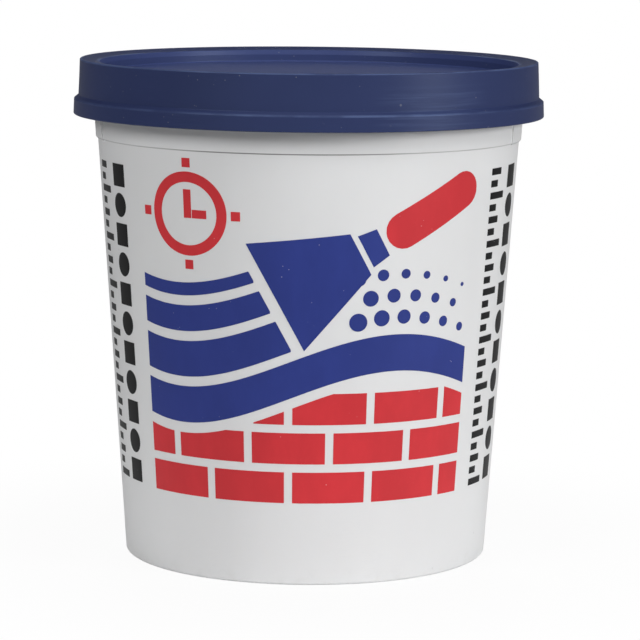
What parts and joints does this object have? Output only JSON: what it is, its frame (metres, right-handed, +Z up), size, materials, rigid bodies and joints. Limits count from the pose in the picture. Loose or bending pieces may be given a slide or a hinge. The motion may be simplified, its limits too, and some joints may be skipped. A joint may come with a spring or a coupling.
{
  "type": "wall filler tub",
  "caption": "Round tapered plastic tub of wall filler with a collar under the rim and a recessed press-on lid that lifts off.",
  "frame": {"origin": "centre of the foot ring, on the surface that the tub stands on", "axes": "+Z up along the tub's axis, -Y out of the front as it is pictured, +X to the right seen from the front"},
  "size_m": [0.1268, 0.1268, 0.1337],
  "materials": {
    "white_plastic": "injection-moulded polypropylene, semi-gloss",
    "blue_plastic": "injection-moulded polypropylene, satin",
    "filler_paste": null
  },
  "bodies": {
    "tub": {"tub": "white_plastic", "filler": "filler_paste"},
    "lid": {"lid": "blue_plastic"}
  },
  "joints": [
    {"name": "lid_lift", "type": "slide", "parent": "tub", "child": "lid", "axis": [0, 0, 1], "range_m": [0, 0.08]}
  ]
}
